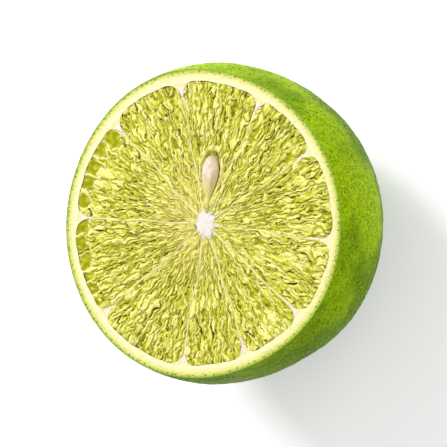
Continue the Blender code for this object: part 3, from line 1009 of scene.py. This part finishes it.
def wedge(index, across, along, height, gap):
    """Bends a flat grid into the wedge between two walls. Gives azimuths and distances from the core,
    and how far each point is from the pith and from the nearest wall."""
    start, end = walls_of(index)
    azimuth = start + (end - start) * across
    distance = ROUGH_TIP + ROUGH_LENGTH * along
    for _ in range(ROUNDS):
        low, high = wall_azimuth(index, distance), wall_azimuth(index + 1, distance)
        outer = wall_distance(azimuth, height) + edge_waver(azimuth) - PITH_GAP - gap
        from_wall = np.minimum((azimuth - low) * outer, (high - azimuth) * outer)
        reach = outer - rounding(np.maximum(from_wall - SIDE_GAP - gap, 0))
        tip = core_edge(azimuth) * TIP_SHARE
        distance = tip + (reach - tip) * along
        low, high = wall_azimuth(index, distance), wall_azimuth(index + 1, distance)
        inset = np.minimum((SIDE_GAP + gap) / distance, (high - low) * MOST_GAP)
        azimuth = low + inset + (high - low - 2 * inset) * across
    return azimuth, distance, reach - distance, np.minimum(azimuth - low, high - azimuth) * distance


print("points along a segment:", ALONG_POINTS)

# %% Windows of juice
WINDOW_AZIMUTHS = np.radians((50, 58, 66, 73, 80.5, 91, 98, 105, 117))
WINDOW_HALF_LONG, WINDOW_HALF_WIDE = 1.50, 1.60
WINDOW_LONGER, WINDOW_WIDER = (0.8, 1.3), (0.75, 1.1)
# Further out than this, a common sac has a small chance to be a window too
SMALL_WINDOW_FROM = 20.5
SMALL_WINDOW_CHANCE = 0.06


def add_windows(sacs, start, end, draw):
    """Puts the wide window sacs between two walls in the place of the sacs that they cover."""
    azimuths = WINDOW_AZIMUTHS[(WINDOW_AZIMUTHS > start) & (WINDOW_AZIMUTHS < end)]
    for azimuth in azimuths:
        half_wide = WINDOW_HALF_WIDE * draw.uniform(*WINDOW_WIDER)
        half_long = WINDOW_HALF_LONG * draw.uniform(*WINDOW_LONGER)
        out = float(wall_distance(azimuth, np.array(CUT))) - 0.9 * half_long
        run, off = (sacs[1] - out) / half_long, (sacs[0] - azimuth) * out / half_wide
        sacs = sacs[:, np.hypot(np.minimum(run, 0), off) > 1.2]
        sacs = np.column_stack((sacs, (azimuth, out, azimuth, half_wide, half_long)))
    wide = np.zeros(sacs.shape[1], bool)
    wide[sacs.shape[1] - len(azimuths) :] = True
    return sacs, wide


print("windows of juice by the pith:", len(WINDOW_AZIMUTHS))

# %% [markdown]
# ## The seed's pocket
# The seed lies in a pocket of the pulp. It keeps the sacs apart, so the pulp sinks beside it, rises in
# two lips along its sides, and closes round its head as a thin pale skin. A white thread joins its tail
# to the core, as in a real fruit. The pocket is worked out from the seed's own outline, so its sizes
# come here, before the seed is made.

# %% Seed's pocket
SEED_AZIMUTH, SEED_FROM_CORE = math.radians(-5), 7.6
SEED_LENGTH, SEED_WIDTH, SEED_DEPTH = 8.4, 4.25, 3.7
SEED_TAPER = 0.80
SEED_SEGMENT = 9
# The pocket is a little to one side of the seed, as the seed has settled in it
POCKET_SHIFT = (0.25, -0.25)
# Where the skin is, as a share of the seed's outline, and how thick the skin, the lips and the thread are
SKIN_SHARE, SKIN_WIDTH = 1.30, 0.09
LIP_WIDTH, THREAD_WIDTH = 0.20, 0.45


def seed_slimness(run):
    """How slim the seed is, from 1 at its blunt end to its thin tail. run goes from 1 to -1."""
    return 1 - SEED_TAPER * ((1 - run) / 2) ** 1.2


def beside_seed(x, y):
    """Where points round the core are beside the seed: along it, from -1 at its tail to 1, and to its
    side, in millimetres."""
    along = x * math.cos(SEED_AZIMUTH) + y * math.sin(SEED_AZIMUTH) - SEED_FROM_CORE
    return along / (SEED_LENGTH / 2), y * math.cos(SEED_AZIMUTH) - x * math.sin(SEED_AZIMUTH)


def seed_share(x, y):
    """How far a point is from the seed's middle, as a share of the seed's outline."""
    run, off = beside_seed(x, y)
    return np.hypot(run, off / (SEED_WIDTH / 2) / seed_slimness(np.clip(run, -1, 1)))


def seed_pocket(x, y):
    """Round the seed: how far the pulp sinks, and how far it rises in the lips and in the thread."""
    share = seed_share(x - POCKET_SHIFT[0], y - POCKET_SHIFT[1])
    sinks = 1 - smooth(share, 0.98, 1.18)
    run, off = beside_seed(x, y)
    off = np.abs(off)
    lips = hill(off - np.interp(run, (-1.5, 0.1), (0.55, 2.0)), LIP_WIDTH)
    lips *= smooth(run, -1.6, -1.3) * (1 - smooth(run, 0.1, 0.7))
    lips = np.maximum(lips, hill(share - SKIN_SHARE, SKIN_WIDTH) * smooth(run, -0.3, 0.4))
    thread = hill(off, THREAD_WIDTH) * smooth(run, -1.7, -1.5) * (1 - smooth(run, -0.8, -0.5))
    return sinks * (1 - thread), lips, thread


print(f"the seed lies {SEED_FROM_CORE} mm from the core, in segment {SEED_SEGMENT + 1}")

# %% [markdown]
# ## Relief of the cut face
# A sac is whole, open, or a window, and is more or less full. Along it run strands, as ridges with
# grooves between them: some grooves are pale veins, some are creases, and a few have opened into slits,
# painted dark as shade. Here and there two sacs have torn apart, and the tear has raised lips. Each of
# these forms is a number at every point, and small tables say how much each one raises the face, pales it
# or darkens it; the darkening is painted shade.

# %% Sacs on the cut face
WHOLE_CHANCE = 0.8
# How high the middle of a sac is, and how the sacs differ in fullness and slant
WHOLE_MIDDLE, OPEN_MIDDLE, WINDOW_MIDDLE = 0.17, -0.12, -0.03
FULLNESS = (0.5, 1.4)
SLANT = 0.07
# How high the skins between sacs are: between two whole ones, elsewhere, and how much more by a window
SEAM_LEVEL, SKIN_LEVEL, WINDOW_SKIN_RISE = -0.07, 0.03, 0.05
# How wide a dish's slope, a window's rim, a seam and the lips of a tear are
DISH_EDGE, WINDOW_EDGE, SEAM_WIDTH, LIPS_AT = 0.16, 0.30, 0.12, 0.30
# One edge between sacs in this many is torn
TORN_ONE_IN = 23


def sac_forms(index, bent, distance, draw):
    """Places the sacs of a segment. Gives their number, the relief that they make, and what its
    strands and finish have to know."""
    sacs, wide = add_windows(cell_layout(*walls_of(index), SACS, draw), *walls_of(index), draw)
    near, far, edge, run = nearest_cells(*bent, sacs)
    out, half_width = sacs[1], sacs[3]
    count = len(out)
    whole = draw.uniform(size=count) < WHOLE_CHANCE
    window = wide | (out > SMALL_WINDOW_FROM) & (draw.uniform(size=count) < SMALL_WINDOW_CHANCE)
    whole &= ~window
    middle = np.where(whole, WHOLE_MIDDLE, OPEN_MIDDLE) * draw.uniform(*FULLNESS, count)
    middle *= np.clip(half_width / 0.45, 0.65, 1)
    middle[window] = WINDOW_MIDDLE
    slant = draw.normal(0, SLANT, count) * np.clip(half_width / 0.55, 0, 1) * ~window
    both_whole = whole[near] & whole[far]
    by_window = window[near] | window[far]
    skin_level = np.where(both_whole, SEAM_LEVEL, SKIN_LEVEL) + WINDOW_SKIN_RISE * by_window
    rise = np.where(whole[near], dome(edge, 0.95 * half_width[near]), 1 - hill(edge, DISH_EDGE))
    relief = skin_level + (middle[near] - skin_level) * rise + slant[near] * np.clip(run, -1.2, 1.2)
    clear = window[near] * (1 - hill(edge, WINDOW_EDGE))
    joined = edge_number(near, far, 13, 7)
    torn = (joined % TORN_ONE_IN == 0) * smooth(distance, 13, 17) * (1 - clear)
    forms = {
        "relief": relief,
        "seam": both_whole * (0.3 + 0.7 * (joined % 5) / 4) * hill(edge, SEAM_WIDTH),
        "gap": torn * hill(edge, SEAM_WIDTH),
        "gap_lips": torn * hill(edge - LIPS_AT, SEAM_WIDTH),
    }
    return count, near, edge, clear, window[near], both_whole, by_window, forms


print("share of the sacs that the knife left whole:", WHOLE_CHANCE)

# %% Strands on the cut face
# Each groove between two strands is of one kind in KINDS: the first ones are pale veins, more or less
# strong, the next is plain, then come creases, and the last is a slit
KINDS = 10
VEINS, FIRST_CREASE, SLIT = 4, 6, 9
GROOVE_WIDTH, CREASE_WIDTH = 0.09, 0.08
RIDGE_MIDDLE = 0.58
STRENGTHS = (0.35, 1.4)
CREASE_SHARE = 0.8
# One strand in this many is blanched
BLANCHED_ONE_IN = 17


def strand_forms(index, bent, distance, clear, draw):
    """Places the strands of a segment. Gives their number, the strand of each point, and the forms
    that they make, which fade out in the windows."""
    strands = cell_layout(*walls_of(index), STRANDS, draw)
    strand, next_strand, groove, _ = nearest_cells(*bent, strands)
    count = len(strands[1])
    ridge = dome(groove, 0.9 * strands[3][strand]) - RIDGE_MIDDLE
    strength = draw.uniform(*STRENGTHS, count)[strand] * (1 - clear)
    kind = edge_number(strand, next_strand, 31, 17) % KINDS
    line = hill(groove, GROOVE_WIDTH)
    creased = (kind >= FIRST_CREASE) & (kind < SLIT)
    forms = {
        "ridge": ridge * strength,
        "vein": np.where(kind < VEINS, 0.4 + 0.2 * kind, 0.0) * line * (1 - clear),
        "blanched": (strand % BLANCHED_ONE_IN == 0) * (ridge + RIDGE_MIDDLE) * (1 - clear),
        "slit": (kind == SLIT) * smooth(distance, 4, 12) * line * (1 - clear),
        "crease": CREASE_SHARE * creased * hill(groove, CREASE_WIDTH) * (1 - clear),
    }
    return count, strand, forms


print("kinds of groove between strands:", KINDS)

# %% Cut face of a segment
# How far the sacs bend out of line: height, wavelength, and the seeds for x and y
BENDS = ((0.18, 2.4, (910, 930)), (0.06, 0.9, (920, 940)))
# How far each form raises the cut face in millimetres, how much it pales it, and how much it
# darkens it with painted shade
RISES = {
    "relief": 1.0, "ridge": 0.045, "vein": 0.05, "swell": 0.07, "slit": -0.26, "crease": -0.05,
    "seam": -0.06, "by_pith": -0.14, "by_wall": -0.10, "lips": 0.10, "thread": 0.24, "gap_lips": 0.06,
    "gap": -0.40, "near_seed": -0.6, "ripple": 0.07,
}
PALES = {"blanched": 0.6, "lips": 0.5, "thread": 0.4, "gap_lips": 0.7}
# How much painted shade each form lays on the cut face
PAINTED_SHADE_BY = {
    "slit": 0.9, "gap": 1.0, "crease": 0.3, "seam": 0.5, "by_pith": 0.3, "by_wall": 0.3, "near_seed": 0.35,
}
# The tone of the juice: its level, and how much it varies by sac, height, strand, ridge and vein. By
# height and by ridge it is partly painted light and shade, paler high up and darker low down
TONE_LEVEL, TONE_BY_SAC, TONE_AND_LIGHT_BY_HEIGHT = 0.355, 0.34, 1.9
TONE_BY_STRAND, TONE_AND_LIGHT_BY_RIDGE, TONE_BY_VEIN = 0.25, 0.25, 0.3
TONE_BY_CORE = 0.12
FACE_SUNK = 0.10
# Where the flesh is warmest, round the core, and how far that reaches
RIPE_AZIMUTH, RIPE_REACH = math.radians(75), 10.0


def bend(flat, axis, index):
    """One coordinate of the points of the flat face, bent so that the sacs waver."""
    moves = (height * waves(flat, length, seeds[axis] + index) for height, length, seeds in BENDS)
    return sum(moves, flat[:, axis])


def weigh(forms, weights):
    """The sum of some forms, each times its weight."""
    return sum(weight * forms[name] for name, weight in weights.items())


def cut_face(index, azimuth, distance, to_pith, to_side):
    """The cut face of a segment: its points, the marks for the finish, and how many sacs it has."""
    draw = np.random.default_rng(900 + index)
    flat = np.stack((distance * np.cos(azimuth), distance * np.sin(azimuth)), axis=1)
    bent = [bend(flat, axis, index) for axis in (0, 1)]
    sacs = sac_forms(index, bent, distance, draw)
    sac_count, near, edge, clear, in_window, both_whole, by_window, forms = sacs
    strand_count, strand, strand_part = strand_forms(index, bent, distance, clear, draw)
    forms.update(strand_part)

    # The pulp lies lower by the pith and the walls in some places, and touches them in others; where it
    # lies lower it is also painted darker, as shade
    loose = 0.5 + 0.6 * waves(flat, 1.6, 960 + index)
    forms["by_pith"] = np.clip(loose, 0.1, 1.2) * np.where(in_window, 0.2, 1.0) * np.exp(-to_pith / 0.28)
    forms["by_wall"] = np.clip(loose, 0.0, 1.0) * np.exp(-to_side / 0.20)
    forms["swell"] = waves(flat, 6.0, 970 + index)
    forms["ripple"] = clear * waves(flat, 1.4, 990 + index)
    pocket = seed_pocket(*flat.T) if index == SEED_SEGMENT else np.zeros((3, len(flat)))
    forms.update(zip(("near_seed", "lips", "thread"), pocket))
    top = from_core(distance, azimuth, CUT)
    top[:, 2] += weigh(forms, RISES) - FACE_SUNK

    # Deep juice is olive and high places are pale, partly as painted light and shade; raised skins and
    # threads are pale, and each cell has a tone of its own
    sac_tone = draw.uniform(-0.5, 0.5, sac_count)[near]
    strand_tone = draw.uniform(-0.5, 0.5, strand_count)[strand]
    tone = TONE_LEVEL + TONE_BY_SAC * sac_tone + TONE_AND_LIGHT_BY_HEIGHT * forms["relief"]
    tone += (TONE_BY_STRAND * strand_tone + TONE_AND_LIGHT_BY_RIDGE * forms["ridge"]) * (1 - clear)
    tone += TONE_BY_VEIN * forms["vein"] + TONE_BY_CORE * smooth(-distance, -9, -2)
    broken = np.where(by_window, 1.0, np.clip(0.45 + 0.6 * waves(flat, 1.3, 980 + index), 0, 1))
    pale_skin = hill(edge, 0.11 + 0.07 * by_window) * np.where(both_whole, 0.2, 0.9) * broken
    pale = pale_skin * (1 - forms["slit"]) + weigh(forms, PALES)
    ripe = 0.80 * (0.5 + 0.5 * np.cos(azimuth - RIPE_AZIMUTH)) * hill(distance, RIPE_REACH)
    marks = {
        "sac": tone,
        "rim": np.clip(pale, 0, 1) * (1 - forms["gap"]),
        "painted_shade": np.clip(weigh(forms, PAINTED_SHADE_BY), 0, 1),
        "clear": clear * np.clip(0.70 + 0.40 * waves(flat, 1.1, 995 + index), 0.1, 1),
        "ripe": np.clip(ripe + 0.9 * forms["thread"], 0, 1),
    }
    return top, marks, sac_count


print("forms on the cut face:", len(RISES))

# %% Segments
SIDE_LEVELS = 5
FLOOR_RISE = 0.3
# The first level under the cut, and how much wider the gap round the segment is below it
FIRST_DROP, LOWER_GAP = 0.8, 0.1
HIDDEN_MARKS = {"sac": 0.5, "rim": 0.3, "painted_shade": 0.3, "clear": 0.0, "ripe": 0.0}


def segment(index):
    """One segment of pulp, from its cut face down to its floor. Gives how many sacs it has."""
    start, end = walls_of(index)
    across_points = int((end - start) * ACROSS_PER_RADIAN)
    across, along = np.meshgrid(np.linspace(0, 1, across_points), np.linspace(0, 1, ALONG_POINTS))
    across, along = across.ravel(), along.ravel()
    top, marks, sac_count = cut_face(index, *wedge(index, across, along, np.full(len(across), CUT), 0.0))

    # The sides go down from the edge of the top grid, level by level, to the floor of the segment
    number = np.arange(len(across)).reshape(ALONG_POINTS, across_points)
    loop = np.concatenate((number[0, :-1], number[:-1, -1], number[-1, :0:-1], number[:0:-1, 0]))
    lower_levels = bowl_heights(SIDE_LEVELS, WALL_INSET, LOCULE_FLOOR + FLOOR_RISE)[1:]
    parts = [top]
    faces = [face[::-1] for face in grid_faces(ALONG_POINTS, across_points)]
    upper, first = loop.tolist(), len(top)
    for level, gap in ((CUT - FIRST_DROP, 0.0), *((level, LOWER_GAP) for level in lower_levels)):
        azimuth, distance, _, _ = wedge(index, across[loop], along[loop], np.full(len(loop), level), gap)
        parts.append(from_core(distance, azimuth, level))
        lower = list(range(first, first + len(loop)))
        faces += [
            [a, b, d, c] for a, b, c, d in zip(upper, upper[1:] + upper[:1], lower, lower[1:] + lower[:1])
        ]
        upper, first = lower, first + len(loop)
    parts.append([parts[-1].mean(axis=0)])
    faces += fan_faces(upper, first)
    points = np.concatenate(parts)
    hidden_points = len(points) - len(top)
    for mark, values in marks.items():
        marks[mark] = np.append(values, np.full(hidden_points, HIDDEN_MARKS[mark]))
    name = f"pulp_segment_{index + 1:02d}"
    add_piece(f"juicy_{name}", points, faces, pulp, marks, name)
    return sac_count


print("juice sacs in all:", sum(segment(index) for index in range(SEGMENTS)))

# %% [markdown]
# ## The seed
# A citrus seed is a drop, blunt at one end and with a thin tail at the other, with faint ridges along it.
# It lies in its pocket with its tail towards the core and a little higher, and its back stands out of
# the pulp. A stretched ball would have no tail, so rings along its length follow a formula for how slim
# it is, which is the one that its pocket uses too.

# %% Seed
SEED_RINGS, SEED_COLUMNS = 60, 72
SEED_HEIGHT = CUT - 0.7
SEED_TILT = 0.5
SEED_RIDGES, RIDGE_SHARE = 7, 0.025
WRINKLE_HEIGHT, WRINKLE_LENGTH = 0.05, 1.3
SPOT_STRENGTH = 0.7
turns = all_round(SEED_COLUMNS)


def seed_point(run, off, up):
    """A point of the seed. run is -1 at its tail and 1 at its head, off is to its side, and up is above
    its middle."""
    core = core_at(SEED_HEIGHT)
    along = SEED_FROM_CORE + run * SEED_LENGTH / 2
    x = core[0] + along * math.cos(SEED_AZIMUTH) - off * math.sin(SEED_AZIMUTH)
    y = core[1] + along * math.sin(SEED_AZIMUTH) + off * math.cos(SEED_AZIMUTH)
    return np.stack(np.broadcast_arrays(x, y, SEED_HEIGHT + SEED_TILT * (1 - run) / 2 + up), axis=-1)


rings, tails, spots = [], [], []
for angle in np.linspace(math.pi, 0, SEED_RINGS)[1:-1]:
    run = math.cos(angle)
    girth = math.sin(angle) * seed_slimness(run)
    ridged = girth * (1 + RIDGE_SHARE * np.sin(SEED_RIDGES * turns + 1.5 * run) * math.sin(angle))
    side, up = ridged * np.cos(turns) * SEED_WIDTH / 2, ridged * np.sin(turns) * SEED_DEPTH / 2
    rings.append(seed_point(run, side, up))
    tails.append(np.full(SEED_COLUMNS, 1 - smooth(np.array(run), -0.65, 0.40)))
    spots.append(np.full(SEED_COLUMNS, SPOT_STRENGTH * smooth(np.array(run), 0.55, 1.0)))
points, faces = ringed_body(rings, seed_point(-1, 0, 0), seed_point(1, 0, 0))
points[:, 2] += WRINKLE_HEIGHT * waves(points, WRINKLE_LENGTH, 51)
marks = {
    "tail": np.append(np.concatenate(tails), (1, 0)),
    "spot": np.append(np.concatenate(spots), (0, SPOT_STRENGTH)),
}
add_piece("citrus_seed", points, faces, seed_coat, marks, "seed")

# %% [markdown]
# ## The stem scar
# Where the stem broke off, a small woody disc is left, with a raised rim, a hollow and a knob, and a few
# lobes round its edge. A profile turned round the axis, as on a lathe, gives all but the lobes, and each
# ring is then pulled a little out of round.

# %% Stem scar
SCAR_RADIUS = 2.5
SCAR_LOW, SCAR_TOP = 0.1, 0.55
SCAR_COLUMNS = 120
KNOB_HEIGHT = 0.15
GRAIN_HEIGHT, GRAIN_LENGTH = 0.03, 0.7
# From the knob in the middle of its underside, out over the rim and up: a share of its radius, and a height
SCAR_PROFILE = (
    (0.06, KNOB_HEIGHT), (0.16, 0.16), (0.27, 0.20), (0.36, 0.30), (0.46, 0.36), (0.56, 0.34), (0.66, 0.30),
    (0.76, 0.19), (0.84, 0.13), (0.92, 0.14), (0.98, 0.22), (1.0, 0.35), (1.0, SCAR_TOP),
)
turns = all_round(SCAR_COLUMNS)
lobed = SCAR_RADIUS * (1 - 0.05 * (0.5 + 0.5 * np.cos(5 * turns + 0.7)) - 0.02 * np.sin(13 * turns))
rings = [from_axis(lobed * share, turns, height) for share, height in SCAR_PROFILE]
points, faces = ringed_body(rings, (0, 0, KNOB_HEIGHT), (0, 0, SCAR_TOP))
grain = GRAIN_HEIGHT * np.maximum(waves(points, GRAIN_LENGTH, 31), -1)
points[:, 2] += grain * (points[:, 2] < SCAR_TOP)
points[:, 2] = np.clip(points[:, 2], SCAR_LOW, SCAR_TOP)
add_piece("woody_stem_scar", points, faces, scar_wood, {}, "stem_scar")

# %% [markdown]
# ## Floor, light and camera
# A pale, plain floor and large soft lights are how such a fruit is photographed. The floor glows faintly,
# as a light table does, which keeps it white and the shadow soft. The key light comes from the upper left
# of the picture and low enough to model the wet sacs, a weaker one fills in from the right, and the rest
# comes from a white sky. The camera looks down on the cut face, 26.3 degrees off its straight view, and
# is turned so that the face leans to the left.

# %% Floor
FLOOR_HALF = 3
floor_mesh = bpy.data.meshes.new("floor")
corners = [(x * FLOOR_HALF, y * FLOOR_HALF, 0) for x, y in ((-1, -1), (1, -1), (1, 1), (-1, 1))]
floor_mesh.from_pydata(corners, [], [[0, 1, 2, 3]])
floor = bpy.data.objects.new("floor", floor_mesh)
bpy.context.scene.collection.objects.link(floor)
floor_paint, shader = new_finish("matte_white_light_table")
set_constants(shader, {
    "Base Color": linear("#F8F8F8"),
    "Roughness": 1.0,
    "Specular IOR Level": 0.1,
    "Emission Color": linear("#FFFFFF"),
    "Emission Strength": 0.28,
})
floor_mesh.materials.append(floor_paint)
print("floor:", 2 * FLOOR_HALF, "m wide")

# %% Lights
FACE_MIDDLE = Vector((0.0, 0.0, CUT * MM))
LIGHT_DISTANCE = 1.2


def softbox(name, direction, size, watts):
    """A square area light that looks at the middle of the cut face."""
    light = bpy.data.lights.new(name, "AREA")
    light.size = size
    light.energy = watts
    lamp = bpy.data.objects.new(name, light)
    towards = Vector(direction).normalized()
    lamp.location = FACE_MIDDLE + towards * LIGHT_DISTANCE
    lamp.rotation_euler = towards.to_track_quat("Z", "Y").to_euler()
    bpy.context.scene.collection.objects.link(lamp)


softbox("key_softbox", direction=(0.62, 0.50, 0.72), size=0.50, watts=14.4)
softbox("fill_softbox", direction=(0.55, -0.65, 0.70), size=0.60, watts=2.6)
world = bpy.data.worlds.new("white_studio")
bpy.context.scene.world = world
world.use_nodes = True
sky = world.node_tree.nodes["Background"]
sky.inputs["Color"].default_value = (1.0, 1.0, 1.0, 1.0)
sky.inputs["Strength"].default_value = 0.54
bpy.context.scene.view_settings.view_transform = "Standard"
print("lights:", len(bpy.data.lights), "and a white sky")

# %% Camera
VIEW_ELEVATION = math.radians(63.7)
LENS = 200.0
SENSOR = 36.0
FRAME_WIDTH = 78.0 * MM
back = Vector((0, -math.cos(VIEW_ELEVATION), math.sin(VIEW_ELEVATION)))
up = Vector((1, 0, 0))
right = up.cross(back)
camera_data = bpy.data.cameras.new("camera")
camera_data.lens = LENS
camera_data.sensor_width = SENSOR
camera = bpy.data.objects.new("camera", camera_data)
distance = FRAME_WIDTH * LENS / SENSOR
target = Vector((0, 0, MIDDLE * MM))
facing = Matrix((right, up, back)).transposed().to_4x4()
camera.matrix_world = Matrix.Translation(target + back * distance) @ facing
bpy.context.scene.collection.objects.link(camera)
bpy.context.scene.camera = camera
print(f"the camera is {distance * 1000:.0f} mm from the fruit's middle")
